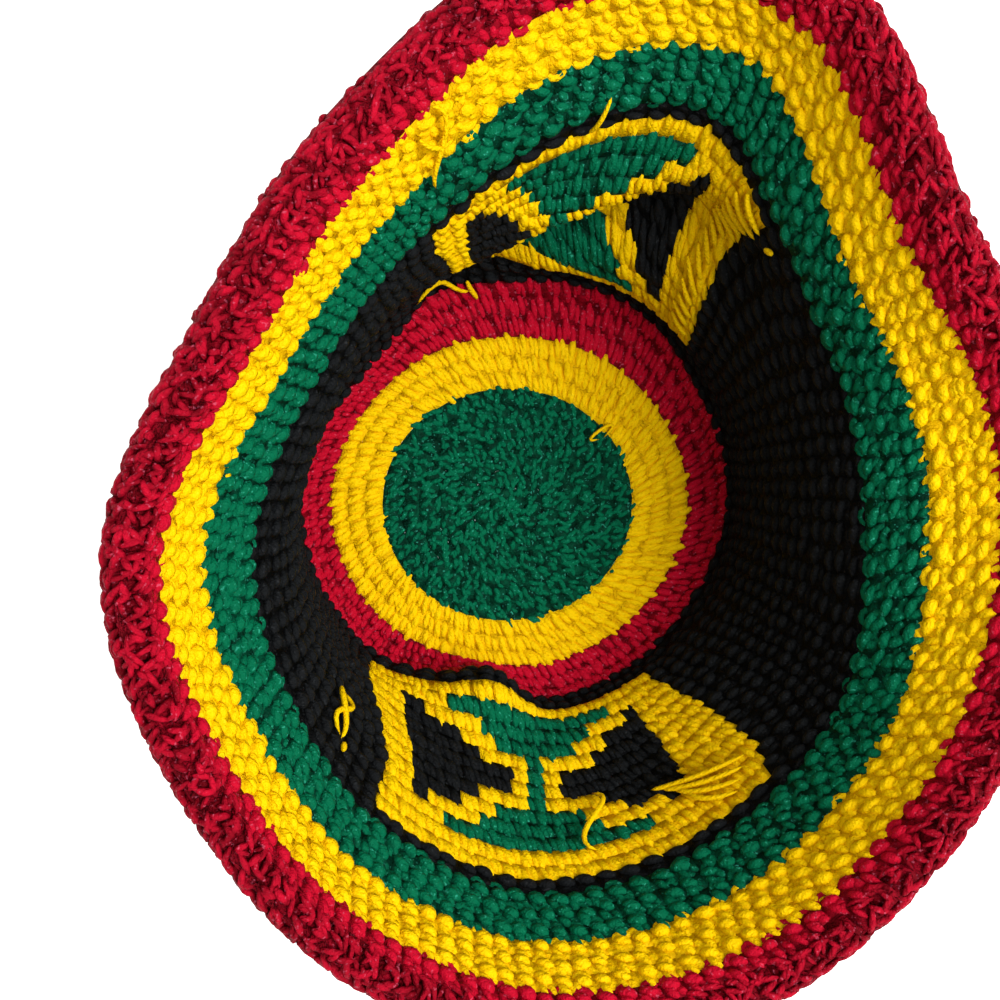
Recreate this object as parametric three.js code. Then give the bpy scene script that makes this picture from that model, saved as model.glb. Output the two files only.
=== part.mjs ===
import * as THREE from 'three';

// Crochet bucket hat, lying on its crown with the opening up. Millimetres, +Z up.
// The origin is the middle of the crown's outer face, on the surface that the hat lies on.
// The cloth is worked in the round, so a place on it is a turn (0 to 1, anticlockwise from +X)
// and a round (0 at the crown's middle, growing to the brim's edge).

const ROUND_HEIGHT = 5.75;
const CLOTH_THICKNESS = 4.2;
const SEAM_GAP = 0.4;

const COLUMNS = 96;
const RING_STEP = 2;
const RING_START = 1;

const GREEN_CROWN_END = 7;
const YELLOW_CROWN_END = 10;
const RED_CROWN_END = 13;
const WALL_END = 29;
const GREEN_BRIM_END = 32;
const YELLOW_BRIM_END = 35;
const BRIM_END = 38;
const EDGE_ROUNDING = 0.3;
const EDGE_THINNING = 0.5;

const CROWN_FLAT_RADIUS = 64;
const CROWN_CORNER_RADIUS = 12;

// The mouth, where the black wall meets the green brim, and the cloth's rise in degrees from there
// outwards. Rows stand at equal turns; rise is that of the cloth's middle at the rounds below.
const SECTIONS = [
  { mouthX: 85, mouthY: 2, mouthZ: 96, wallTop: 72, green: 48, yellow: 36, red: 58, edge: -30 },
  { mouthX: 73, mouthY: 50, mouthZ: 96, wallTop: 76, green: 68, yellow: 50, red: 74, edge: -50 },
  { mouthX: 50, mouthY: 100, mouthZ: 90, wallTop: 72, green: 36, yellow: 54, red: 72, edge: -47 },
  { mouthX: 3, mouthY: 102, mouthZ: 84, wallTop: 66, green: 42, yellow: 40, red: 56, edge: -38 },
  { mouthX: -39, mouthY: 70, mouthZ: 86, wallTop: 72, green: 60, yellow: 66, red: 46, edge: -50 },
  { mouthX: -64, mouthY: 33, mouthZ: 96, wallTop: 64, green: 68, yellow: 72, red: 66, edge: -64 },
  { mouthX: -79, mouthY: -7, mouthZ: 98, wallTop: 58, green: 54, yellow: 64, red: 80, edge: -85 },
  { mouthX: -71, mouthY: -48, mouthZ: 94, wallTop: 64, green: 60, yellow: 72, red: 76, edge: -88 },
  { mouthX: -46, mouthY: -87, mouthZ: 88, wallTop: 72, green: 60, yellow: 80, red: 72, edge: -80 },
  { mouthX: -4, mouthY: -109, mouthZ: 83, wallTop: 74, green: 68, yellow: 74, red: 70, edge: -80 },
  { mouthX: 45, mouthY: -98, mouthZ: 83, wallTop: 74, green: 62, yellow: 70, red: 66, edge: -75 },
  { mouthX: 82, mouthY: -56, mouthZ: 90, wallTop: 72, green: 66, yellow: 66, red: 70, edge: -65 },
];
const RISES = [
  { column: 'wallTop', round: WALL_END },
  { column: 'green', round: 30.5 },
  { column: 'yellow', round: 33.5 },
  { column: 'red', round: 36.2 },
  { column: 'edge', round: 37.8 },
];

// Folds and dents: the cloth is pushed inwards, and up by lift degrees, over a patch around
// (turn, round). A slant is how many rounds the patch climbs in a whole turn.
const FOLDS = {
  crown_dent: { turn: 0.705, halfTurn: 0.085, round: 14.6, halfRound: 5.4, push: 12, lift: 40 },
  dent_corner: { turn: 0.725, halfTurn: 0.045, round: 14.2, halfRound: 4, push: 10, lift: 40 },
  crown_left: { turn: 0.39, halfTurn: 0.12, round: 13.5, halfRound: 4.5, push: 7, lift: 0 },
  crown_right: { turn: 0, halfTurn: 0.11, round: 13, halfRound: 4.5, push: -2.5, lift: 0 },
  crown_back: { turn: 0.16, halfTurn: 0.11, round: 13, halfRound: 4.5, push: -3.5, lift: 0 },
  crease_out: {
    turn: 0.225, halfTurn: 0.14, round: 19.4, halfRound: 3.8, push: -14, lift: 0, slant: -50,
  },
  crease_in: {
    turn: 0.225, halfTurn: 0.14, round: 23.7, halfRound: 3.2, push: 3, lift: 0, slant: -50,
  },
  front_bulge: { turn: 0.8, halfTurn: 0.09, round: 21, halfRound: 6, push: -4, lift: 0 },
  brim_in: { turn: 0.125, halfTurn: 0.075, round: 34, halfRound: 10, push: 5.5, lift: 0 },
  brim_out: { turn: 0.2, halfTurn: 0.07, round: 30, halfRound: 7, push: -4, lift: 0 },
};
// The stitches lean along the wall at the ends of the flags: shift is in turns.
const SHIFTS = {
  front_foot: { turn: 0.87, halfTurn: 0.08, round: 15, halfRound: 6, shift: -0.018 },
  front_top: { turn: 0.87, halfTurn: 0.09, round: 25.5, halfRound: 7, shift: 0.014 },
  front_left: { turn: 0.645, halfTurn: 0.08, round: 16.5, halfRound: 9, shift: -0.026 },
  back_right: { turn: 0.12, halfTurn: 0.09, round: 24, halfRound: 10, shift: 0.02 },
  back_left: { turn: 0.3, halfTurn: 0.09, round: 28, halfRound: 10, shift: 0.017 },
  back_middle: { turn: 0.22, halfTurn: 0.1, round: 22, halfRound: 8.5, shift: 0.027 },
};
// The middle of the crown lies off the middle of its corner.
const CROWN_SLIP = { x: -2.8, y: -4.5 };

// Each flag is a window in the wall: its first column, and its columns and borders in stitches.
const FLAGS = [
  {
    side: 'front', firstColumn: 63, columns: 20, firstBorder: 2, lastBorder: 3,
    crownBorder: 1, brimBorder: 2,
  },
  {
    side: 'back', firstColumn: 11, columns: 18, firstBorder: 3, lastBorder: 2,
    crownBorder: 1, brimBorder: 1,
  },
];
const FLAG_FIRST_ROUND = 15;
const FLAG_ROUNDS = 13;
// The saltire's arms, as shares of half a field, and the green that joins where they would cross.
const ARM = { towardsEnds: 0.16, towardsMiddle: 0.17 };
const OPEN_MIDDLE = 0.1;

const COLORS = { green: 0x006a44, yellow: 0xf0cc00, red: 0xc01838, black: 0x0c0e10 };
const YARN_ROUGHNESS = 0.85;

const UP = new THREE.Vector3(0, 0, 1);
const FULL_TURN = 2 * Math.PI;

// A column of SECTIONS at any turn, by a closed Catmull-Rom curve through its rows.
function around(column, turn) {
  const count = SECTIONS.length;
  const place = THREE.MathUtils.euclideanModulo(turn, 1) * count;
  const first = Math.floor(place);
  const t = place - first;
  const [a, b, c, d] = [-1, 0, 1, 2].map((k) => SECTIONS[(first + k + count) % count][column]);
  const square = (2 * a - 5 * b + 4 * c - d) * t ** 2;
  const cube = (3 * b - a - 3 * c + d) * t ** 3;
  return 0.5 * (2 * b + (c - a) * t + square + cube);
}

function outwards(turn) {
  return new THREE.Vector3(Math.cos(FULL_TURN * turn), Math.sin(FULL_TURN * turn), 0);
}

function rising(turn, degrees) {
  const rise = THREE.MathUtils.degToRad(degrees);
  return outwards(turn).multiplyScalar(Math.cos(rise)).addScaledVector(UP, Math.sin(rise));
}

const CORNER_END = (CROWN_FLAT_RADIUS + (CROWN_CORNER_RADIUS * Math.PI) / 2) / ROUND_HEIGHT;

// The crown: a flat disc with a quarter-round corner.
function crownPoint(turn, round) {
  const reach = Math.min(round * ROUND_HEIGHT, CROWN_FLAT_RADIUS);
  const bend = THREE.MathUtils.clamp(
    (round * ROUND_HEIGHT - CROWN_FLAT_RADIUS) / CROWN_CORNER_RADIUS, 0, Math.PI / 2);
  const inside = Math.max(1 - round / CORNER_END, 0);
  const slip = inside * (2 - inside);
  return outwards(turn)
    .multiplyScalar(reach + CROWN_CORNER_RADIUS * Math.sin(bend))
    .addScaledVector(UP, CLOTH_THICKNESS / 2 + CROWN_CORNER_RADIUS * (1 - Math.cos(bend)))
    .add(new THREE.Vector3(CROWN_SLIP.x * slip, CROWN_SLIP.y * slip, 0));
}

function mouthPoint(turn) {
  return new THREE.Vector3(around('mouthX', turn), around('mouthY', turn), around('mouthZ', turn));
}

// The wall: a Hermite curve from the crown's corner, where it stands upright, to the mouth.
function wallPoint(turn, round) {
  const s = (round - CORNER_END) / (WALL_END - CORNER_END);
  const length = (WALL_END - CORNER_END) * ROUND_HEIGHT;
  return crownPoint(turn, CORNER_END)
    .multiplyScalar(2 * s ** 3 - 3 * s ** 2 + 1)
    .addScaledVector(UP, length * (s ** 3 - 2 * s ** 2 + s))
    .addScaledVector(mouthPoint(turn), -2 * s ** 3 + 3 * s ** 2)
    .addScaledVector(rising(turn, around('wallTop', turn)), length * (s ** 3 - s ** 2));
}

function riseAt(turn, round) {
  const last = RISES.length - 1;
  const next = RISES.findIndex((row) => row.round > round);
  if (next < 0) return around(RISES[last].column, turn);
  const [low, high] = [RISES[next - 1], RISES[next]];
  const share = (round - low.round) / (high.round - low.round);
  return (1 - share) * around(low.column, turn) + share * around(high.column, turn);
}

// The brim: the rise is followed outwards from the mouth in short steps.
const BRIM_STEPS = 24;
function brimPoint(turn, round) {
  const point = mouthPoint(turn);
  const step = (round - WALL_END) / BRIM_STEPS;
  for (let k = 0; k < BRIM_STEPS; k += 1) {
    const rise = riseAt(turn, WALL_END + (k + 0.5) * step);
    point.addScaledVector(rising(turn, rise), step * ROUND_HEIGHT);
  }
  return point;
}

function unfolded(turn, round) {
  if (round <= CORNER_END) return crownPoint(turn, round);
  return round <= WALL_END ? wallPoint(turn, round) : brimPoint(turn, round);
}

// Small steps along the cloth, for its normal and for the width of its seams.
const TURN_STEP = 0.001;
const ROUND_STEP = 0.02;
const FIRST_ROUND_WITH_NORMAL = 0.3;
function smallSteps(turn, round) {
  const near = Math.max(round, FIRST_ROUND_WITH_NORMAL);
  const along = folded(turn + TURN_STEP, near).sub(folded(turn - TURN_STEP, near));
  const across = folded(turn, near + ROUND_STEP).sub(folded(turn, near - ROUND_STEP));
  return { along, across };
}

// The direction that points out of the cloth's inner side.
function innerNormal(turn, round) {
  const { along, across } = smallSteps(turn, round);
  return across.cross(along).normalize();
}

function bump(x) {
  return Math.abs(x) < 1 ? Math.cos((x * Math.PI) / 2) ** 2 : 0;
}

// How much of a patch's effect a place on the cloth gets: 1 in its middle, 0 at its edge.
function shareOf(patch, turn, round) {
  const away = THREE.MathUtils.euclideanModulo(turn - patch.turn + 0.5, 1) - 0.5;
  const middleRound = patch.round + (patch.slant ?? 0) * away;
  return bump(away / patch.halfTurn) * bump((round - middleRound) / patch.halfRound);
}

function folded(column, round) {
  let turn = column;
  for (const patch of Object.values(SHIFTS)) turn += patch.shift * shareOf(patch, column, round);
  const point = unfolded(turn, round);
  for (const patch of Object.values(FOLDS)) {
    const push = patch.push * shareOf(patch, turn, round);
    point.addScaledVector(rising(turn, 180 - patch.lift), push);
  }
  return point;
}

function clothPoint(turn, round, depth) {
  return folded(turn, round).addScaledVector(innerNormal(turn, round), depth);
}

// A list of turns that spans more than this goes all round the hat.
const NEARLY_ROUND = 0.9;

// One closed piece of cloth over the cells of a grid that isCell chooses. Its sides are drawn back by
// half the seam gap, so that it meets its neighbours with a narrow gap.
function clothPiece(name, color, turns, rounds, isCell, depthShare = () => 1) {
  const closed = turns.at(-1) - turns[0] > NEARLY_ROUND;
  const count = turns.length - (closed ? 0 : 1);
  const wrap = (i) => (closed ? (i + count) % count : i);
  const has = (i, j) => {
    const inside = j >= 0 && j < rounds.length - 1 && (closed || (i >= 0 && i < count));
    return inside && isCell(wrap(i), j);
  };

  const positions = [];
  const known = new Map();
  const corner = (i, j, side) => {
    const column = wrap(i);
    let turn = turns[column];
    let round = rounds[j];
    let across = 0;
    let along = 0;
    for (const [di, dj] of [[-1, -1], [-1, 0], [0, -1], [0, 0]]) {
      if (!has(i + di, j + dj)) continue;
      across += di < 0 ? -1 : 1;
      along += dj < 0 ? -1 : 1;
    }
    if (round > 0) {
      const step = smallSteps(turn, round);
      const area = step.across.clone().cross(step.along).length();
      turn += (Math.sign(across) * SEAM_GAP * TURN_STEP * step.across.length()) / area;
      round += (Math.sign(along) * SEAM_GAP * ROUND_STEP * step.along.length()) / area;
    }
    const point = clothPoint(turn, round, (side * depthShare(rounds[j]) * CLOTH_THICKNESS) / 2);
    const key = point.toArray().map((value) => value.toFixed(4)).join(' ');
    if (!known.has(key)) {
      known.set(key, positions.length / 3);
      positions.push(...point.toArray());
    }
    return known.get(key);
  };

  const index = [];
  const triangle = (a, b, c) => {
    if (a !== b && b !== c && c !== a) index.push(a, b, c);
  };
  const quad = (a, b, c, d) => {
    triangle(a, b, c);
    triangle(a, c, d);
  };
  for (let j = 0; j < rounds.length - 1; j += 1) {
    for (let i = 0; i < count; i += 1) {
      if (!has(i, j)) continue;
      const ring = [[i, j], [i, j + 1], [i + 1, j + 1], [i + 1, j]];
      const inner = ring.map(([a, b]) => corner(a, b, 1));
      const outer = ring.map(([a, b]) => corner(a, b, -1));
      quad(...inner);
      quad(...[...outer].reverse());
      const beyond = [[i - 1, j], [i, j + 1], [i + 1, j], [i, j - 1]];
      // Facing sides of neighbours get the same diagonal, so that the gap between them stays even.
      beyond.forEach(([a, b], k) => {
        if (has(a, b)) return;
        const next = (k + 1) % 4;
        if (k < 2) quad(inner[next], inner[k], outer[k], outer[next]);
        else quad(inner[k], outer[k], outer[next], inner[next]);
      });
    }
  }

  const geometry = new THREE.BufferGeometry();
  geometry.setAttribute('position', new THREE.Float32BufferAttribute(positions, 3));
  geometry.setIndex(index);
  geometry.computeVertexNormals();
  const material = new THREE.MeshStandardMaterial({
    color: COLORS[color], roughness: YARN_ROUGHNESS, metalness: 0,
  });
  const mesh = new THREE.Mesh(geometry, material);
  mesh.name = name;
  return mesh;
}

function steps(first, last, count) {
  return Array.from({ length: count + 1 }, (_, k) => first + ((last - first) * k) / count);
}

function inFlagColumns(flag, column) {
  return column >= flag.firstColumn && column < flag.firstColumn + flag.columns;
}

// Grid columns: every second one for the crown's middle, and also every one at the flags elsewhere.
const RING_COLUMNS = steps(RING_START, COLUMNS - RING_STEP + RING_START, COLUMNS / RING_STEP - 1);
const WALL_COLUMNS = steps(1, COLUMNS, COLUMNS - 1).filter(
  (column) => RING_COLUMNS.includes(column) || FLAGS.some((flag) => inFlagColumns(flag, column)));

function ring(name, color, columns, rounds, depthShare) {
  const turns = columns.map((column) => column / COLUMNS);
  return clothPiece(name, color, turns, rounds, () => true, depthShare);
}

// Crown: three discs and rings of colour.
const crown = new THREE.Group();
crown.name = 'crown';
crown.add(
  ring('crown_centre', 'green', RING_COLUMNS, steps(0, GREEN_CROWN_END, 2)),
  ring('crown_ring_yellow', 'yellow', RING_COLUMNS, steps(GREEN_CROWN_END, YELLOW_CROWN_END, 2)),
  ring('crown_ring_red', 'red', WALL_COLUMNS, steps(YELLOW_CROWN_END, RED_CROWN_END, 3)),
);

// Wall: black, with a window for each flag.
function inFlagWindow(i, j) {
  const round = RED_CROWN_END + j;
  const inRounds = round >= FLAG_FIRST_ROUND && round < FLAG_FIRST_ROUND + FLAG_ROUNDS;
  return inRounds && FLAGS.some((flag) => inFlagColumns(flag, WALL_COLUMNS[i]));
}
const wallRounds = steps(RED_CROWN_END, WALL_END, WALL_END - RED_CROWN_END);
const wallTurns = WALL_COLUMNS.map((column) => column / COLUMNS);
const wall = new THREE.Group();
wall.name = 'wall';
wall.add(clothPiece('side_wall', 'black', wallTurns, wallRounds, (i, j) => !inFlagWindow(i, j)));

// Flags: a yellow border and saltire, with green above and below and black at the ends.
function flagField({ columns, firstBorder, lastBorder, crownBorder, brimBorder }, i, j) {
  const fieldColumns = columns - firstBorder - lastBorder;
  const fieldRounds = FLAG_ROUNDS - crownBorder - brimBorder;
  const across = (i + 0.5 - firstBorder) / (fieldColumns / 2) - 1;
  const along = (j + 0.5 - crownBorder) / (fieldRounds / 2) - 1;
  const lean = Math.abs(along) - Math.abs(across);
  const inBorder = Math.abs(across) > 1 || Math.abs(along) > 1;
  const open = Math.abs(across) < OPEN_MIDDLE;
  const inArm = !open && lean > -ARM.towardsEnds && lean < ARM.towardsMiddle;
  if (inBorder || inArm) return 'saltire';
  if (open || lean > 0) return along < 0 ? 'green_crown_side' : 'green_brim_side';
  return across < 0 ? 'black_left' : 'black_right';
}
const FLAG_FIELDS = [
  { field: 'saltire', color: 'yellow' },
  { field: 'green_crown_side', color: 'green' },
  { field: 'green_brim_side', color: 'green' },
  { field: 'black_left', color: 'black' },
  { field: 'black_right', color: 'black' },
];
function flag(pattern) {
  const { side, firstColumn, columns } = pattern;
  const turns = steps(firstColumn / COLUMNS, (firstColumn + columns) / COLUMNS, columns);
  const rounds = steps(FLAG_FIRST_ROUND, FLAG_FIRST_ROUND + FLAG_ROUNDS, FLAG_ROUNDS);
  const group = new THREE.Group();
  group.name = `flag_${side}`;
  for (const { field, color } of FLAG_FIELDS) {
    const isField = (i, j) => flagField(pattern, i, j) === field;
    group.add(clothPiece(`flag_${side}_${field}`, color, turns, rounds, isField));
  }
  return group;
}

// Brim: three rings of colour, the last with a rounded edge.
const redRounds = [...steps(YELLOW_BRIM_END, BRIM_END - EDGE_ROUNDING, 4), BRIM_END];
const thinEdge = (round) => (round === BRIM_END ? EDGE_THINNING : 1);
const brim = new THREE.Group();
brim.name = 'brim';
brim.add(
  ring('brim_green', 'green', WALL_COLUMNS, steps(WALL_END, GREEN_BRIM_END, 3)),
  ring('brim_yellow', 'yellow', WALL_COLUMNS, steps(GREEN_BRIM_END, YELLOW_BRIM_END, 3)),
  ring('brim_red', 'red', WALL_COLUMNS, redRounds, thinEdge),
);

const hat = new THREE.Group();
hat.name = 'crochet_bucket_hat';
hat.add(crown, wall, ...FLAGS.map(flag), brim);

export default hat;
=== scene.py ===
import bpy
import numpy as np
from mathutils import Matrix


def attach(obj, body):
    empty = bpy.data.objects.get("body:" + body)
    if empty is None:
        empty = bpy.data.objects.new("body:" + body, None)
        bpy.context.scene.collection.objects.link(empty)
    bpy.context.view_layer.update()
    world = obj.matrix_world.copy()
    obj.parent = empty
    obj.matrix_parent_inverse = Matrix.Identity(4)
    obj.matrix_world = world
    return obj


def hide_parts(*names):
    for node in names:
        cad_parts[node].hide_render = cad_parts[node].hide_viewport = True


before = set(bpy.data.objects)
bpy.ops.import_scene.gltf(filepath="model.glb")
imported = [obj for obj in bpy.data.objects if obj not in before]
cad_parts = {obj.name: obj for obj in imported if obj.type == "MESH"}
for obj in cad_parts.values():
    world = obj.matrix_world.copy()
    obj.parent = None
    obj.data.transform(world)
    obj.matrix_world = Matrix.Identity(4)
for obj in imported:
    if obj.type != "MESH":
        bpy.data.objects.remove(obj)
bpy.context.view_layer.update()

# The camera.
# It looks down into the opening from above, leaning a little to the left and to the far side.
# It stands close, so the brim, which is nearer to it, looks much larger than the crown.
AIM_HEIGHT = 0.004
CAMERA_DISTANCE = 0.372
CAMERA_LEAN_LEFT = np.radians(7)
CAMERA_LEAN_FAR = np.radians(3)
CAMERA_LENS = 38.5
VIEW_SHIFT = (-0.015, -0.008)


def unit(vectors):
    """Each vector over its own length."""
    return vectors / np.maximum(np.linalg.norm(vectors, axis=-1, keepdims=True), 1e-12)


back = unit(np.array([-np.tan(CAMERA_LEAN_LEFT), np.tan(CAMERA_LEAN_FAR), 1.0]))
right = unit(np.cross([0.0, 1.0, 0.0], back))
up = np.cross(back, right)
camera = bpy.data.objects.new("camera", bpy.data.cameras.new("camera"))
bpy.context.scene.collection.objects.link(camera)
bpy.context.scene.camera = camera
camera.data.lens = CAMERA_LENS
camera.data.shift_x, camera.data.shift_y = VIEW_SHIFT
place = np.eye(4)
place[:3, 0], place[:3, 1], place[:3, 2] = right, up, back
place[:3, 3] = np.array([0, 0, AIM_HEIGHT]) + CAMERA_DISTANCE * back
camera.matrix_world = place.T.tolist()

# Crown centre.
# Seven rounds of green worsted acrylic yarn in single crochet, from a closed ring of six stitches.
# Each round has six stitches more than the one before, so the disc lies flat.
ROUND_HEIGHT = 0.00575
CLOTH_THICKNESS = 0.0042
CROWN_FLAT_RADIUS = 0.064
CROWN_CORNER_RADIUS = 0.012
CORNER_END = (CROWN_FLAT_RADIUS + CROWN_CORNER_RADIUS * np.pi / 2) / ROUND_HEIGHT
CROWN_SLIP = np.array([-0.0028, -0.0045, 0.0])
GREEN_CROWN_END, YELLOW_CROWN_END, RED_CROWN_END = 7, 10, 13
CROWN_INCREASE = 6
STITCH_LEAN = 0.17
# Each fold: turn, half width in turns, row, half height in rows, push inwards in metres, lift in
# degrees, and slant in rows a turn. Each shift: the same first four, and the shift in turns.
FOLDS = [
    (0.705, 0.085, 14.6, 5.4, 0.012, 40, 0),
    (0.725, 0.045, 14.2, 4, 0.010, 40, 0),
    (0.39, 0.12, 13.5, 4.5, 0.007, 0, 0),
    (0, 0.11, 13, 4.5, -0.0025, 0, 0),
    (0.16, 0.11, 13, 4.5, -0.0035, 0, 0),
    (0.225, 0.14, 19.4, 3.8, -0.014, 0, -50),
    (0.225, 0.14, 23.7, 3.2, 0.003, 0, -50),
    (0.8, 0.09, 21, 6, -0.004, 0, 0),
    (0.125, 0.075, 34, 10, 0.0055, 0, 0),
    (0.2, 0.07, 30, 7, -0.004, 0, 0),
]
SHIFTS = [
    (0.87, 0.08, 15, 6, -0.018),
    (0.87, 0.09, 25.5, 7, 0.014),
    (0.645, 0.08, 16.5, 9, -0.026),
    (0.12, 0.09, 24, 10, 0.02),
    (0.3, 0.09, 28, 10, 0.017),
    (0.22, 0.1, 22, 8.5, 0.027),
]
TURN_STEP = 0.001
ROW_STEP = 0.02
FIRST_ROW_WITH_NORMAL = 0.3
MILLIMETRE = 0.001
UP = np.array([0.0, 0.0, 1.0])
random = np.random.default_rng(7)


def rising(turn, degrees):
    """Direction outwards from the hat's middle at a turn, tilted up by an angle."""
    turn, rise = np.broadcast_arrays(2 * np.pi * np.asarray(turn, float), np.radians(degrees))
    flat = np.cos(rise)
    return np.stack([flat * np.cos(turn), flat * np.sin(turn), np.sin(rise)], axis=-1)


def patch_share(turn, row, middle_turn, half_turn, middle_row, half_row, slant=0):
    """A patch's effect fades from its middle to its edge as a squared cosine, both ways."""
    away = (turn - middle_turn + 0.5) % 1 - 0.5
    share = 1.0
    for x in (away / half_turn, (row - middle_row - slant * away) / half_row):
        share = share * np.where(np.abs(x) < 1, np.cos(x * np.pi / 2) ** 2, 0)
    return share


def shifted(turn, row):
    """The stitches lean along the wall where a shift moves them round the hat."""
    return turn + sum(shift * patch_share(turn, row, *patch) for *patch, shift in SHIFTS)


def fold(points, turn, row):
    """Each fold pushes inwards, and up by its lift, over its patch."""
    for *patch, push, lift, slant in FOLDS:
        share = push * patch_share(turn, row, *patch, slant)
        points = points + share[..., None] * rising(turn, 180 - lift)
    return points


def flat_crown(turn, row):
    """A flat disc out to the corner, and from there a quarter circle that turns up. The disc's
    middle slips sideways, by s(2 - s) where s falls from one there to nothing at the corner."""
    reach = row * ROUND_HEIGHT
    bend = np.clip((reach - CROWN_FLAT_RADIUS) / CROWN_CORNER_RADIUS, 0, np.pi / 2)
    radius = np.minimum(reach, CROWN_FLAT_RADIUS) + CROWN_CORNER_RADIUS * np.sin(bend)
    height = CLOTH_THICKNESS / 2 + CROWN_CORNER_RADIUS * (1 - np.cos(bend))
    inside = np.maximum(1 - row / CORNER_END, 0)[..., None]
    return (radius[..., None] * rising(turn, 0) + height[..., None] * UP
            + inside * (2 - inside) * CROWN_SLIP)


SPREAD_ROWS, SPREAD_POWER = 1.4, 2.2
SPREAD_ALL_ROUND, SPREAD_SIDEWAYS, SPREAD_TO_NEAR_SIDE = 0.17, 0.27, 0.2


def spread(turn, row):
    """The rings are pulled a little oval: their rows move out by a share that grows to the yellow
    ring's edge as a sine and is gone at the red ring's, most at the left and right."""
    share = SPREAD_ROWS * np.sin(np.pi * np.clip(row / RED_CROWN_END, 0, 1) ** SPREAD_POWER)
    angle = 2 * np.pi * turn
    oval = SPREAD_ALL_ROUND + SPREAD_SIDEWAYS * np.cos(2 * angle)
    return share * (oval - SPREAD_TO_NEAR_SIDE * np.sin(angle))


def crown_cloth(turn, row):
    """The crown's middle surface with its folds."""
    turn = shifted(turn, row)
    row = row + spread(turn, row)
    return fold(flat_crown(turn, row), turn, row)


def on_cloth(surface, turn, row, depth):
    """Places on the cloth and its inward normals. The normal is the cross product of a small step
    up the rounds and one along the turn. Depth is measured along it from the middle surface."""
    turn, row, depth = np.broadcast_arrays(turn, row, depth)
    near = np.maximum(row, FIRST_ROW_WITH_NORMAL)
    along = surface(turn + TURN_STEP, near) - surface(turn - TURN_STEP, near)
    across = surface(turn, near + ROW_STEP) - surface(turn, near - ROW_STEP)
    normals = unit(np.cross(across, along))
    return surface(turn, row) + depth[..., None] * normals, normals


def tube(centres, normals, radius, sides):
    """A round section carried along each strand's middle line: side and lift are square to the
    line, and a ring's points are the centre plus radius times cosine of side plus sine of lift."""
    along = unit(np.gradient(centres, axis=-2))
    side = unit(np.cross(normals, along))
    lift = np.cross(along, side)
    angle = 2 * np.pi * np.arange(sides) / sides
    ring = np.cos(angle)[:, None] * side[..., None, :] + np.sin(angle)[:, None] * lift[..., None, :]
    return ends_closed(centres[..., None, :] + radius[..., None, None] * ring)


def ends_closed(rings):
    """The values of a strand's rings in a row, with one point only for its first and last ring."""
    body = rings[:, 1:-1].reshape(len(rings), -1, *rings.shape[3:])
    return np.concatenate([rings[:, :1, 0], body, rings[:, -1:, 0]], axis=1)


def strand_faces(rings, sides):
    """Corners, sides and UV of one strand: a fan at each closed end, whose ring is one point, and
    quads between."""
    k = np.arange(sides)
    after = (k + 1) % sides
    first = 1 + np.arange(rings - 3)[:, None] * sides
    last_ring, last_point = 1 + (rings - 3) * sides, 1 + (rings - 2) * sides
    start = np.stack([0 * k, 1 + after, 1 + k], axis=-1)
    quads = np.stack([first + k, first + after, first + after + sides, first + k + sides], axis=-1)
    end = np.stack([last_ring + k, last_ring + after, last_point + 0 * k], axis=-1)
    corners = np.concatenate([start.ravel(), quads.ravel(), end.ravel()])
    counts = np.concatenate([np.full(sides, 3), np.full((rings - 3) * sides, 4), np.full(sides, 3)])
    ring_number = np.broadcast_to(np.arange(1, rings - 2)[:, None], (rings - 3, sides))
    around = [np.stack([k + 0.5, k + 1, k], -1),
              np.broadcast_to(np.stack([k, k + 1, k + 1, k], -1), (rings - 3, sides, 4)),
              np.stack([k, k + 1, k + 0.5], -1)]
    lengthways = [np.stack([0 * k, 0 * k + 1, 0 * k + 1], -1),
                  np.stack([ring_number, ring_number, ring_number + 1, ring_number + 1], -1),
                  np.stack([0 * k + rings - 2, 0 * k + rings - 2, 0 * k + rings - 1], -1)]
    uv = np.stack([np.concatenate([a.ravel() for a in around]) / sides,
                   np.concatenate([a.ravel() for a in lengthways]) / (rings - 1)], axis=-1)
    return corners, counts, uv


def yarn_piece(name, shapes, finish, slot, *nodes):
    """One mesh of all shapes of a colour. Each kind of shape has a block of points for every
    stitch, one list of faces for all its blocks, a tone for each point that holds painted shade as
    well as the stitch's random tone, and its yarn's length."""
    points, corners, counts, uv, tone_and_painted_shade, used = [], [], [], [], [], 0
    for block, (one_corners, one_counts, one_uv), point_tone_and_shade, length in shapes:
        amount = len(block)
        start = used + np.arange(amount)[:, None] * block.shape[1]
        points.append(block.reshape(-1, 3))
        corners.append((one_corners + start).ravel())
        counts.append(np.tile(one_counts, amount))
        one = np.broadcast_to(one_uv, (amount, len(one_uv), 2)).copy()
        one[..., 1] = one[..., 1] * length + random.random((amount, 1))
        uv.append(one.reshape(-1, 2))
        tone_and_painted_shade.append(np.broadcast_to(point_tone_and_shade, block.shape[:2]).ravel())
        used += amount * block.shape[1]
    points, corners, counts = map(np.concatenate, (points, corners, counts))
    mesh = bpy.data.meshes.new(name)
    mesh.vertices.add(len(points))
    mesh.vertices.foreach_set("co", points.astype(np.float32).ravel())
    mesh.loops.add(len(corners))
    mesh.loops.foreach_set("vertex_index", corners.astype(np.int32))
    mesh.polygons.add(len(counts))
    mesh.polygons.foreach_set("loop_start", (np.cumsum(counts) - counts).astype(np.int32))
    mesh.update(calc_edges=True)
    mesh.uv_layers.new(name="yarn").data.foreach_set(
        "uv", np.concatenate(uv).astype(np.float32).ravel())
    mesh.attributes.new("tone_and_painted_shade", "FLOAT", "POINT").data.foreach_set(
        "value", np.concatenate(tone_and_painted_shade).astype(np.float32))
    mesh.polygons.foreach_set("use_smooth", np.ones(len(counts), bool))
    mesh.materials.append(finish)
    mesh.update()
    piece = bpy.data.objects.new(name, mesh)
    bpy.context.scene.collection.objects.link(piece)
    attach(piece, "root")
    if nodes:
        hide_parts(*nodes)


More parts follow.
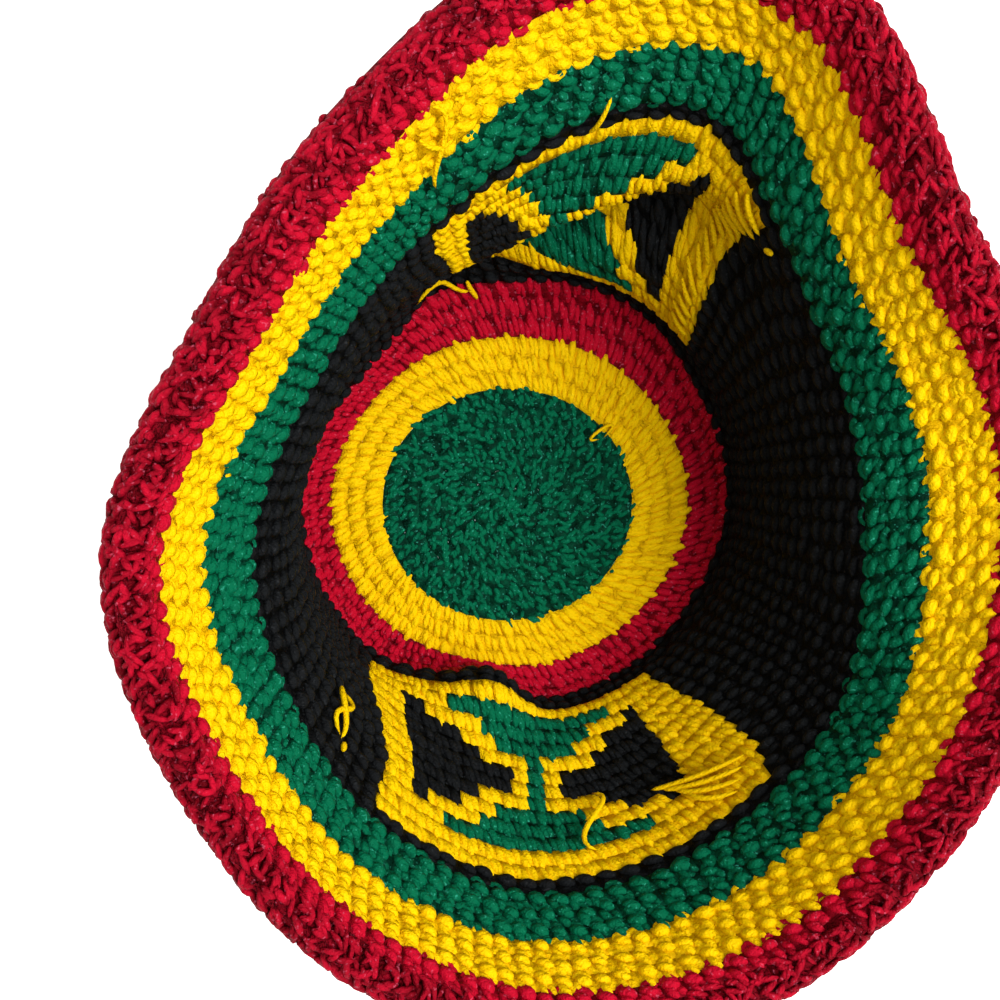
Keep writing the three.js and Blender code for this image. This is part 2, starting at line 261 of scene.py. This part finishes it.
PLIES, WINDS_A_METRE = 3.0, 420.0
FUZZ_SCALE, PATCH_SCALE, PAINTED_GLINT_SCALE = 1500.0, 350.0, 1000.0
PLY_HEIGHT, FUZZ_HEIGHT, BUMP_DISTANCE, BUMP_STRENGTH = 0.35, 1.6, 0.0005, 0.9
PATCH_CONTRAST = 0.9
PAINTED_SHADE_FROM, FULL_FROM = 0.2, 0.85
PAINTED_GLINTS_FROM, PAINTED_GLINTS_FULL = 0.64, 0.76
YARN_ROUGHNESS, YARN_SPECULAR = 0.6, 0.06


def yarn_finish(name, colour, painted_shade, painted_glint, painted_glint_amount):
    """Plied acrylic yarn: three plies wind round the strand, with fuzz over them. Deep between the
    stitches it is darkened towards a painted shade colour, its colour changes in patches, and small
    flecks of a lighter colour are painted glints where fibres shine."""
    material = bpy.data.materials.new(name)
    material.use_nodes = True
    nodes, links = material.node_tree.nodes, material.node_tree.links
    shader = nodes["Principled BSDF"]
    uv = nodes.new("ShaderNodeUVMap")
    uv.uv_map = "yarn"
    split = nodes.new("ShaderNodeSeparateXYZ")
    links.new(uv.outputs[0], split.inputs[0])
    place = nodes.new("ShaderNodeTexCoord")

    def math(operation, a, b=None):
        node = nodes.new("ShaderNodeMath")
        node.operation = operation
        for socket, value in zip(node.inputs, (a, b)):
            if isinstance(value, (int, float)):
                socket.default_value = value
            elif value is not None:
                links.new(value, socket)
        return node.outputs[0]

    def noise(scale, detail):
        node = nodes.new("ShaderNodeTexNoise")
        node.inputs["Scale"].default_value = scale
        node.inputs["Detail"].default_value = detail
        links.new(place.outputs["Object"], node.inputs["Vector"])
        return node.outputs["Fac"]

    plies = math("MULTIPLY", split.outputs[0], PLIES)
    winding = math("ADD", plies, math("MULTIPLY", split.outputs[1], WINDS_A_METRE))
    ply = math("ABSOLUTE", math("SINE", math("MULTIPLY", winding, np.pi)))
    fuzz = noise(FUZZ_SCALE, 3.0)
    height = math("ADD", math("MULTIPLY", ply, PLY_HEIGHT), math("MULTIPLY", fuzz, FUZZ_HEIGHT))
    bump = nodes.new("ShaderNodeBump")
    bump.inputs["Distance"].default_value = BUMP_DISTANCE
    bump.inputs["Strength"].default_value = BUMP_STRENGTH
    links.new(height, bump.inputs["Height"])
    links.new(bump.outputs[0], shader.inputs["Normal"])

    tone_and_shade_attribute = nodes.new("ShaderNodeAttribute")
    tone_and_shade_attribute.attribute_name = "tone_and_painted_shade"
    patches = math("MULTIPLY", math("SUBTRACT", noise(PATCH_SCALE, 2.0), 0.5), PATCH_CONTRAST)
    # The ramp runs from the painted shade colour, for a low tone, to the yarn's own colour.
    ramp = nodes.new("ShaderNodeValToRGB")
    ramp.color_ramp.elements[0].color = (*painted_shade, 1)
    ramp.color_ramp.elements[0].position = PAINTED_SHADE_FROM
    ramp.color_ramp.elements[1].color = (*colour, 1)
    ramp.color_ramp.elements[1].position = FULL_FROM
    links.new(math("ADD", tone_and_shade_attribute.outputs["Fac"], patches), ramp.inputs["Fac"])
    # Painted glints: small flecks mixed towards a lighter colour where the fibres would catch the
    # light.
    amount = nodes.new("ShaderNodeMapRange")
    amount.inputs["From Min"].default_value = PAINTED_GLINTS_FROM
    amount.inputs["From Max"].default_value = PAINTED_GLINTS_FULL
    amount.inputs["To Max"].default_value = painted_glint_amount
    links.new(noise(PAINTED_GLINT_SCALE, 1.0), amount.inputs["Value"])
    mix = nodes.new("ShaderNodeMix")
    mix.data_type = "RGBA"
    mix.inputs["B"].default_value = (*painted_glint, 1)
    links.new(amount.outputs["Result"], mix.inputs["Factor"])
    links.new(ramp.outputs["Color"], mix.inputs["A"])
    links.new(mix.outputs["Result"], shader.inputs["Base Color"])
    shader.inputs["Roughness"].default_value = YARN_ROUGHNESS
    shader.inputs["Specular IOR Level"].default_value = YARN_SPECULAR
    return material


def round_of(row, count, lean=STITCH_LEAN):
    """The stitches of one round: the turn of each one's middle, its row, and its width in turns."""
    turn = (np.arange(count) + 0.5 + lean * row) / count
    return np.stack([turn, np.full(count, float(row)), np.full(count, 1 / count)], axis=-1)


STRAND_TAPER = 0.6


def petal(start, end, depth, arch, thickness, peak=0.5, rings=7):
    """A strand from one place of a stitch's box to another, across it and up the round. Depth and
    radius are in millimetres: the depth bows by arch, and the radius is thickness times a power of
    sin(pi t), where t is a power of the way along that makes it thickest at the peak."""
    s = np.linspace(0, 1, rings)
    t = s ** (np.log(0.5) / np.log(peak))
    radius = thickness * np.abs(np.sin(np.pi * t)) ** STRAND_TAPER
    return np.stack([start[0] + (end[0] - start[0]) * s, start[1] + (end[1] - start[1]) * s,
                     depth + arch * np.sin(np.pi * s), radius], axis=-1)


THICKNESS_VARIES, WOBBLE = 0.12, 0.08
LOWEST_ROW = 0.05
STRAND_LENGTH = 0.007
# The stitch's own random tone, and painted shade: the nearer a point lies to the cloth's middle,
# the darker.
STITCH_TINT, DEPTH_PAINTED_SHADE, LARGEST_DEPTH = 0.25, 0.75, 1.2


def strands_of(surface, cells, tone_and_painted_shade, path, sides, wobble=WOBBLE):
    """A path laid in every stitch's box and carried onto the cloth as tubes with closed ends. A
    point's tone is partly the stitch's own random tone and mostly painted shade from its distance
    from the cloth's middle, in half thicknesses: the nearer the middle, the darker."""
    amount = len(cells)
    shake = 1 + THICKNESS_VARIES * random.standard_normal((amount, 1))
    slip = wobble * random.standard_normal((amount, 2, 2))
    way = np.linspace(0, 1, len(path))[:, None]
    moved = path[None, :, :2] + slip[:, :1] + (way - 0.5) * slip[:, 1:]
    across = moved[..., 0] + STITCH_LEAN * (moved[..., 1] - 0.5)
    turn = cells[:, None, 0] + across * cells[:, None, 2]
    row = np.maximum(cells[:, None, 1] + moved[..., 1], LOWEST_ROW)
    depth = MILLIMETRE * path[None, :, 2] + 0 * turn
    centres, normals = on_cloth(surface, turn, row, depth)
    radius = MILLIMETRE * path[None, :, 3] * shake
    radius[:, [0, -1]] = 0
    swell = np.sin(2 * np.pi * np.arange(sides) / sides)
    height = ends_closed((depth[..., None] + radius[..., None] * swell)[..., None])[..., 0]
    height = np.minimum(np.abs(height) / (CLOTH_THICKNESS / 2), LARGEST_DEPTH)
    point_tone_and_shade = STITCH_TINT * tone_and_painted_shade[:, None] + DEPTH_PAINTED_SHADE * height
    strands = tube(centres, normals, radius, sides)
    return strands, strand_faces(len(path), sides), point_tone_and_shade, STRAND_LENGTH


CORE_HALF_THICKNESS = 0.0014
CORE_START = 0.15
CORE_PAINTED_SHADE, CORE_LENGTH, CORE_UV = 0.3, 0.001, 0.1


def cores(surface, cells):
    """The yarn in the thick of the cloth: a flat block under each stitch, as wide as its box. Its
    colour is kept dark as painted shade in the gaps between the stitches.
    """
    across, upwards, side = (
        x.ravel() for x in np.meshgrid([-0.5, 0.5], [CORE_START, 1 + CORE_START], [-1, 1]))
    turn = cells[:, :1] + (across + STITCH_LEAN * (upwards - 0.5)) * cells[:, 2:]
    row = np.maximum(cells[:, 1:2] + upwards, LOWEST_ROW)
    block, _ = on_cloth(surface, turn, row, CORE_HALF_THICKNESS * side)
    corners = np.array([0, 4, 6, 2, 1, 3, 7, 5, 0, 1, 5, 4, 2, 6, 7, 3, 0, 2, 3, 1, 4, 5, 7, 6])
    uv = np.full((len(corners), 2), CORE_UV)
    return block, (corners, np.full(6, 4), uv), CORE_PAINTED_SHADE, CORE_LENGTH


# On the cloth's outer side each stitch shows the two legs of a V.
LEGS = [petal((-0.04, -0.2), (-0.36, 1.0), -0.3, -0.5, 1.35, rings=6),
        petal((0.04, -0.2), (0.36, 1.0), -0.3, -0.5, 1.35, rings=6)]
INNER_SIDES, LEG_SIDES = 6, 5


def stitched(surface, cells, inner_strands, wobble=WOBBLE, painted_shade_shift=0.0):
    """The strands of every stitch: those of its inner side, two legs on the outer side and a core.
    Each stitch has its own random tone, from the given shift up; a shift below nothing darkens it
    as painted shade."""
    tone_and_painted_shade = painted_shade_shift + random.random(len(cells))
    shapes = [strands_of(surface, cells, tone_and_painted_shade, path, INNER_SIDES, wobble)
              for path in inner_strands]
    shapes += [strands_of(surface, cells, tone_and_painted_shade, path, LEG_SIDES) for path in LEGS]
    return [*shapes, cores(surface, cells)]


# Short strands that cross one another, as the closely worked middle shows.
MIDDLE_STITCH = [
    petal((-0.5, 0.3), (0.0, 0.9), 0.4, 0.8, 1.0),
    petal((0.05, 0.1), (-0.25, 0.9), 0.3, 0.9, 0.95),
    petal((0.05, 0.75), (0.5, 1.2), 0.4, 0.8, 1.0),
    petal((0.1, 0.1), (0.45, 0.7), 0.3, 0.9, 1.0),
    petal((-0.35, 0.75), (0.1, 1.25), 0.5, 0.7, 0.9),
    petal((0.5, 0.2), (0.2, 0.8), 0.5, 0.8, 0.9),
]
MIDDLE_WOBBLE = 0.18
# Its colours: the yarn's own, the painted shade deep between stitches, the painted glint of flecks.
green_yarn = yarn_finish(
    "green_yarn", (0.0, 0.125, 0.056), (0.0, 0.022, 0.011), (0.05, 0.5, 0.34), 0.5)
crown_counts = {row: CROWN_INCREASE * (row + 1) for row in range(RED_CROWN_END)}
crown_rounds = {row: round_of(row, count) for row, count in crown_counts.items()}


def rounds(first, last):
    """The stitches of some of the crown's rounds."""
    return np.concatenate([crown_rounds[row] for row in range(first, last)])


yarn_piece("crown_centre_stitches",
           stitched(crown_cloth, rounds(0, GREEN_CROWN_END), MIDDLE_STITCH, MIDDLE_WOBBLE),
           green_yarn, "green_yarn", "crown_centre")

# Yellow ring of the crown.
# Three rounds of yellow yarn, worked into the green ones' top loops.
# The yarn is changed at the end of a round, so its strands bite into the red like teeth.
LEANING_STITCH = [
    petal((-0.5, 0.05), (-0.2, 1.3), 0.3, 0.9, 1.25),
    petal((-0.16, 0.15), (0.16, 1.55), 0.5, 1.0, 1.35),
    petal((0.16, -0.05), (0.46, 1.25), 0.3, 0.9, 1.2),
]
# Its colours: the yarn's own, the painted shade deep between stitches, the painted glint of flecks.
yellow_yarn = yarn_finish(
    "yellow_yarn", (0.93, 0.59, 0.0), (0.8, 0.46, 0.0), (1.0, 0.76, 0.02), 0.35)
yarn_piece("crown_ring_yellow_stitches",
           stitched(crown_cloth, rounds(GREEN_CROWN_END, YELLOW_CROWN_END), LEANING_STITCH),
           yellow_yarn, "yellow_yarn", "crown_ring_yellow")

# Red ring of the crown.
# Three rounds of red yarn, the last of the flat crown and the first of its rounded corner.
# Its colours: the yarn's own, the painted shade deep between stitches, the painted glint of flecks.
red_yarn = yarn_finish("red_yarn", (0.5, 0.003, 0.022), (0.13, 0.0, 0.004), (0.7, 0.13, 0.22), 0.45)
yarn_piece("crown_ring_red_stitches",
           stitched(crown_cloth, rounds(YELLOW_CROWN_END, RED_CROWN_END), LEANING_STITCH),
           red_yarn, "red_yarn", "crown_ring_red")

# Side wall.
# Sixteen rounds of black yarn, with a window for each flag where the yarn is changed.
# The wall stands up from the crown's corner and opens out to the mouth.
SECTIONS = {
    "mouth_x": (85, 73, 50, 3, -39, -64, -79, -71, -46, -4, 45, 82),
    "mouth_y": (2, 50, 100, 102, 70, 33, -7, -48, -87, -109, -98, -56),
    "mouth_z": (96, 96, 90, 84, 86, 96, 98, 94, 88, 83, 83, 90),
    "wall_top": (72, 76, 72, 66, 72, 64, 58, 64, 72, 74, 74, 72),
    "green": (48, 68, 36, 42, 60, 68, 54, 60, 60, 68, 62, 66),
    "yellow": (36, 50, 54, 40, 66, 72, 64, 72, 80, 74, 70, 66),
    "red": (58, 74, 72, 56, 46, 66, 80, 76, 72, 70, 66, 70),
    "edge": (-30, -50, -47, -38, -50, -64, -85, -88, -80, -80, -75, -65),
}
WALL_END = 29
WALL_COLUMNS = 96


def around(column, turn):
    """A column of the sections at any turn, by a closed Catmull-Rom curve through its values."""
    values = np.array(SECTIONS[column], float)
    place = (turn % 1) * len(values)
    first = np.floor(place).astype(int)
    t = place - first
    a, b, c, d = (values[(first + k) % len(values)] for k in (-1, 0, 1, 2))
    return 0.5 * (2 * b + (c - a) * t + (2 * a - 5 * b + 4 * c - d) * t**2
                  + (3 * b - a - 3 * c + d) * t**3)


def mouth(turn):
    """The line where the wall meets the brim."""
    axes = ("mouth_x", "mouth_y", "mouth_z")
    return MILLIMETRE * np.stack([around(axis, turn) for axis in axes], axis=-1)


def wall_cloth(turn, row):
    """A Hermite curve from the crown's corner, where it stands upright, to the mouth."""
    turn = shifted(turn, row)
    s = ((row - CORNER_END) / (WALL_END - CORNER_END))[..., None]
    length = (WALL_END - CORNER_END) * ROUND_HEIGHT
    foot = flat_crown(turn, np.full(np.shape(turn), CORNER_END))
    wall = ((2 * s**3 - 3 * s**2 + 1) * foot + length * (s**3 - 2 * s**2 + s) * UP
            + (3 * s**2 - 2 * s**3) * mouth(turn)
            + length * (s**3 - s**2) * rising(turn, around("wall_top", turn)))
    return fold(np.where(s < 0, flat_crown(turn, row), wall), turn, row)


wall_rounds = {row: round_of(row, min(CROWN_INCREASE * (row + 1), WALL_COLUMNS), 0.0)
               for row in range(RED_CROWN_END, WALL_END)}
# Each flag: first column, columns, the columns of its first and last border, and the rounds of its
# border at the crown's side and at the brim's.
FLAGS = {"front": (63, 20, 2, 3, 1, 2), "back": (11, 18, 3, 2, 1, 1)}
FLAG_ROUNDS, FLAG_FIRST_ROUND = 13, 15
# How far a cross's arm reaches towards the flag's ends and middle, in shares of half a field, and
# the half width of the green between the arms.
ARM_TOWARDS_ENDS, ARM_TOWARDS_MIDDLE, OPEN_MIDDLE = 0.16, 0.17, 0.1


def flag_cell(cells, side):
    """Column and round of each stitch counted from a flag's corner."""
    return cells[:, 0] * WALL_COLUMNS - FLAGS[side][0], cells[:, 1] - FLAG_FIRST_ROUND


def in_flag(cells, side):
    """Whether each stitch lies in a flag's window."""
    column, row = flag_cell(cells, side)
    return (column > 0) & (column < FLAGS[side][1]) & (row >= 0) & (row < FLAG_ROUNDS)


# A thick slanting bar from side to side, and a thinner one over it.
WALL_STITCH = [petal((-0.55, 0.25), (0.5, 0.6), 0.5, 1.1, 1.6, peak=0.6),
               petal((-0.4, 0.75), (0.45, 1.0), 0.1, 0.8, 1.1)]
all_wall = np.concatenate(list(wall_rounds.values()))
wall_only = ~(in_flag(all_wall, "front") | in_flag(all_wall, "back"))
# Its colours: the yarn's own, the painted shade deep between stitches, the painted glint of flecks.
black_yarn = yarn_finish(
    "black_yarn", (0.007, 0.008, 0.009), (0.0008, 0.001, 0.0012), (0.05, 0.055, 0.06), 0.3)
WALL_MIDDLE = 21
lower = all_wall[:, 1] < WALL_MIDDLE
for part, chosen in (("lower", lower), ("upper", ~lower)):
    yarn_piece(f"side_wall_{part}_stitches",
               stitched(wall_cloth, all_wall[wall_only & chosen], WALL_STITCH),
               black_yarn, "black_yarn", "side_wall")

# The two flags.
# Each is worked into the wall's rounds: a yellow border and diagonal cross, green above and below
# it, and black at its sides. The yarns are carried behind the stitches.
def flag_field(cells, side):
    """Which field a stitch is in: the cross where the two distances from the middle nearly agree,
    but green in its middle."""
    column, row = flag_cell(cells, side)
    _, columns, first_border, last_border, crown_border, brim_border = FLAGS[side]
    half_columns = (columns - first_border - last_border) / 2
    half_rounds = (FLAG_ROUNDS - crown_border - brim_border) / 2
    across = (np.floor(column) + 0.5 - first_border) / half_columns - 1
    along = (row + 0.5 - crown_border) / half_rounds - 1
    lean = np.abs(along) - np.abs(across)
    border = (np.abs(across) > 1) | (np.abs(along) > 1)
    open_middle = np.abs(across) < OPEN_MIDDLE
    arm = ~open_middle & (lean > -ARM_TOWARDS_ENDS) & (lean < ARM_TOWARDS_MIDDLE)
    green = open_middle | (lean > 0)
    return np.select(
        [border | arm, green & (along < 0), green, across < 0],
        ["saltire", "green_crown_side", "green_brim_side", "black_left"], "black_right")


FIELD_YARNS = {
    "saltire": (yellow_yarn, "yellow_yarn"),
    "green_crown_side": (green_yarn, "green_yarn"),
    "green_brim_side": (green_yarn, "green_yarn"),
    "black_left": (black_yarn, "black_yarn"),
    "black_right": (black_yarn, "black_yarn"),
}
for side in FLAGS:
    cells = all_wall[in_flag(all_wall, side)]
    fields = flag_field(cells, side)
    for field, (finish, slot) in FIELD_YARNS.items():
        node = f"flag_{side}_{field}"
        yarn_piece(f"{node}_stitches", stitched(wall_cloth, cells[fields == field], LEANING_STITCH),
                   finish, slot, node)

# Brim, green rounds.
# Three rounds of green yarn in single crochet, worked into the wall's last loops.
# A few stitches are added in every round, so that they flare out from the mouth.
GREEN_BRIM_END, YELLOW_BRIM_END, FIRM_BRIM_END, BRIM_END = 32, 35, 36, 38
RISES = {"wall_top": WALL_END, "green": 30.5, "yellow": 33.5, "red": 36.2, "edge": 37.8}
BRIM_STEPS = 24
BRIM_COUNTS = dict(zip(range(WALL_END, BRIM_END), (102, 107, 112, 115, 118, 121, 124, 127, 130)))


def brim_cloth(turn, row):
    """The rise is followed outwards from the mouth in short steps, each at its own row's rise."""
    turn, row = np.broadcast_arrays(turn, row)
    turn = shifted(turn, row)
    points = mouth(turn)
    step = (row - WALL_END) / BRIM_STEPS
    names, knots = list(RISES), list(RISES.values())
    rises = np.stack([around(name, turn) for name in names])
    for k in range(BRIM_STEPS):
        at = WALL_END + (k + 0.5) * step
        rise = rises[0]
        for low in range(len(knots) - 1):
            share = np.clip((at - knots[low]) / (knots[low + 1] - knots[low]), 0, 1)
            rise = rise + share * (rises[low + 1] - rises[low])
        points = points + (step * ROUND_HEIGHT)[..., None] * rising(turn, rise)
    return fold(points, turn, row)


# A fat slanting bar, the half ring that holds the round below, and two strands that point outwards.
half_circle = np.linspace(0, np.pi, 7)
HALF_RING_WIDTH, HALF_RING_THICKNESS = 0.36, 1.2
HALF_RING = np.stack([-HALF_RING_WIDTH * np.cos(half_circle), 0.5 - 0.5 * np.sin(half_circle),
                      0.2 + 0.6 * np.sin(half_circle),
                      HALF_RING_THICKNESS + 0 * half_circle], axis=-1)
BAR = petal((-0.46, 0.3), (0.42, 0.72), 0.7, 1.0, 1.6, peak=0.55)
POINTS = [petal((-0.36, 0.45), (0.02, 1.4), 0.3, 0.9, 1.35),
          petal((0.12, 0.5), (0.42, 1.25), 0.2, 0.8, 1.15)]
BRIM_STITCH = [BAR, HALF_RING, *POINTS]
brim_rounds = {row: round_of(row, count) for row, count in BRIM_COUNTS.items()}


def brim_part(first, last):
    """The stitches of some of the brim's rounds."""
    return np.concatenate([brim_rounds[row] for row in range(first, last)])


yarn_piece("brim_green_stitches",
           stitched(brim_cloth, brim_part(WALL_END, GREEN_BRIM_END), BRIM_STITCH),
           green_yarn, "green_yarn", "brim_green")

# Brim, yellow rounds.
# Three rounds of yellow yarn in the same stitch, worked into the green ones' loops.
yarn_piece("brim_yellow_stitches",
           stitched(brim_cloth, brim_part(GREEN_BRIM_END, YELLOW_BRIM_END), BRIM_STITCH),
           yellow_yarn, "yellow_yarn", "brim_yellow")

# Brim, red rounds.
# Three rounds of red yarn, the outer two worked more loosely, and the last edge, which rolls over
# outwards and is finished with a round of slip stitches.
LOOSE_STITCH = [
    petal((-0.6, 0.1), (0.5, 0.45), 0.8, 0.9, 0.85),
    petal((-0.55, 1.0), (0.5, 0.7), 0.7, 0.9, 0.85),
    petal((-0.5, 0.35), (0.4, 0.7), 0.8, 0.7, 0.8),
    petal((-0.3, 0.0), (0.1, 0.8), 0.6, 0.8, 0.85),
    petal((0.1, 0.3), (0.5, 1.1), 0.6, 0.8, 0.85),
    petal((-0.55, 0.75), (0.1, 0.2), 0.6, 0.8, 0.8),
    petal((-0.2, 1.15), (0.55, 0.95), 0.5, 0.9, 0.85),
]
# Painted shade: the outer two rounds and the edge are shifted darker all round.
LOOSE_WOBBLE, LOOSE_PAINTED_SHADE = 0.17, -1.3
EDGE_STITCH = [petal((-0.9, 0.15), (0.9, 0.4), 0.2, 0.9, 1.3),
               petal((-0.9, 0.4), (0.9, 0.2), -0.8, -0.4, 1.4)]
EDGE_ROW = 37.45
edge_cells = round_of(EDGE_ROW, BRIM_COUNTS[BRIM_END - 1])
firm_part = brim_part(YELLOW_BRIM_END, FIRM_BRIM_END)
loose_part = brim_part(FIRM_BRIM_END, BRIM_END)
yarn_piece("brim_red_stitches",
           stitched(brim_cloth, firm_part, BRIM_STITCH)
           + stitched(brim_cloth, loose_part, LOOSE_STITCH, LOOSE_WOBBLE, LOOSE_PAINTED_SHADE)
           + [strands_of(brim_cloth, edge_cells,
                         LOOSE_PAINTED_SHADE + random.random(len(edge_cells)), path, INNER_SIDES)
              for path in EDGE_STITCH],
           red_yarn, "red_yarn", "brim_red")

# Loose ends and floats of yellow yarn.
# The maker left them on the inner side where the colours change, pulled through and not woven in.
# Each is a bare strand that lies on the stitches, and the back flag's border ends in a fringe.
END_RINGS, END_SIDES, END_TAPER = 14, 6, 0.3
END_TINT, END_LENGTH = 1.0, 0.02


def yarn_end(surface, points, thickness=0.9):
    """A strand through a few places, each a column of the wall, a row and a height over the cloth
    in millimetres: the polynomial through them all, with a radius that tapers at both ends."""
    s = np.linspace(0, 1, END_RINGS)
    through = np.polyfit(np.linspace(0, 1, len(points)), points, len(points) - 1)
    column, row, height = sum(part[:, None] * s**power for power, part in enumerate(through[::-1]))
    centres, normals = on_cloth(surface, column / WALL_COLUMNS, row, MILLIMETRE * height)
    radius = MILLIMETRE * thickness * np.sin(np.pi * s) ** END_TAPER
    radius[[0, -1]] = 0
    strand = tube(centres[None], normals[None], radius[None], END_SIDES)
    return strand, strand_faces(END_RINGS, END_SIDES), END_TINT, END_LENGTH


brim_ends = [
    [(29.6, 35.4, 3.0), (29.0, 34.2, 4.5), (29.2, 32.8, 4.0), (29.1, 31.4, 3.5)],
    [(30.1, 34.6, 3.0), (29.4, 33.6, 4.0), (28.4, 33.0, 3.5)],
    [(22.1, 30.2, 4.0), (22.3, 29.4, 5.0), (22.4, 28.6, 3.5)],
]
wall_ends = [
    [(31.8, 14.0, 3.0), (30.2, 14.6, 3.6), (28.8, 13.6, 4.0), (27.3, 13.0, 3.5)],
    [(27.5, 13.6, 3.0), (27.2, 13.0, 4.0), (26.8, 12.2, 3.0)],
    [(58.4, 24.2, 3.0), (58.2, 25.2, 4.5), (59.0, 26.2, 4.5), (59.5, 27.3, 3.0)],
    [(58.5, 24.2, 3.0), (59.1, 25.3, 4.8), (58.5, 26.3, 4.0), (59.4, 27.2, 3.0)],
    [(59.7, 27.4, 3.5), (59.9, 27.9, 3.5)],
    [(75.6, 22.4, 3.5), (76.0, 23.8, 5.0), (75.0, 25.4, 4.5), (75.4, 26.9, 3.5)],
    [(10.3, 27.7, 3.5), (10.1, 28.2, 3.5)],
]
FRONT_FLOATS = 4
wall_ends += [[(78.4 + 0.5 * k, 23.9 + 0.45 * k, 3.2), (80.2, 25.1 + 0.5 * k, 4.4),
               (82.6 - 0.3 * k, 26.2 + 0.5 * k, 3.4)] for k in range(FRONT_FLOATS)]
FRINGE_ROWS = np.arange(17.5, 28.5, 0.8)
LONG_FRINGE_FROM = 24.5
wall_ends += [[(12.6 + 0.4 * random.random(), row + 0.4, 3.0), (11.9, row, 3.8),
               (11.5 - 0.3 * random.random() - 0.6 * (row > LONG_FRINGE_FROM), row - 0.3, 3.0)]
              for row in FRINGE_ROWS]
crown_loop = [(9.0, 6.7, 3.0), (9.9, 7.5, 4.0), (10.2, 6.4, 4.0), (9.2, 6.6, 3.2)]
BRIM_END_THICKNESS, CROWN_LOOP_THICKNESS = 0.7, 0.6
yarn_piece("yellow_yarn_ends",
           [yarn_end(brim_cloth, points, BRIM_END_THICKNESS) for points in brim_ends]
           + [yarn_end(wall_cloth, points) for points in wall_ends]
           + [yarn_end(crown_cloth, crown_loop, CROWN_LOOP_THICKNESS)],
           yellow_yarn, "yellow_yarn")

# Floor and light.
# A plain pale floor, a large soft light from the right, and a weaker one from all round.
FLOOR_REACH, FLOOR_GREY, FLOOR_ROUGHNESS, FLOOR_GLOW = 3, 0.9, 0.9, 0.55
floor_mesh = bpy.data.meshes.new("floor")
floor_corners = FLOOR_REACH * np.array([(-1, -1, 0), (1, -1, 0), (1, 1, 0), (-1, 1, 0)])
floor_mesh.from_pydata(floor_corners.tolist(), [], [(0, 1, 2, 3)])
floor = bpy.data.objects.new("floor", floor_mesh)
bpy.context.scene.collection.objects.link(floor)
floor_finish = bpy.data.materials.new("pale_floor")
floor_finish.use_nodes = True
floor_shader = floor_finish.node_tree.nodes["Principled BSDF"]
floor_shader.inputs["Base Color"].default_value = (FLOOR_GREY, FLOOR_GREY, FLOOR_GREY, 1)
floor_shader.inputs["Roughness"].default_value = FLOOR_ROUGHNESS
floor_shader.inputs["Emission Color"].default_value = (1, 1, 1, 1)
floor_shader.inputs["Emission Strength"].default_value = FLOOR_GLOW
floor_mesh.materials.append(floor_finish)
WINDOW_PLACE = np.array([0.6, 0.05, 1.35])
WINDOW_SIZE, WINDOW_POWER, ROOM_POWER = 0.9, 25.5, 0.68
LIT_PLACE = np.array([0, 0, 0.08])
window = bpy.data.objects.new("window", bpy.data.lights.new("window", "AREA"))
window.data.size, window.data.energy = WINDOW_SIZE, WINDOW_POWER
away = unit(WINDOW_PLACE - LIT_PLACE)
sideways = unit(np.cross([0.0, 1.0, 0.0], away))
place = np.eye(4)
place[:3, 0], place[:3, 1], place[:3, 2] = sideways, np.cross(away, sideways), away
place[:3, 3] = WINDOW_PLACE
window.matrix_world = place.T.tolist()
bpy.context.scene.collection.objects.link(window)
world = bpy.data.worlds.new("room")
bpy.context.scene.world = world
world.use_nodes = True
room = world.node_tree.nodes["Background"]
room.inputs["Color"].default_value = (1, 1, 1, 1)
room.inputs["Strength"].default_value = ROOM_POWER
bpy.context.scene.view_settings.view_transform = "Standard"
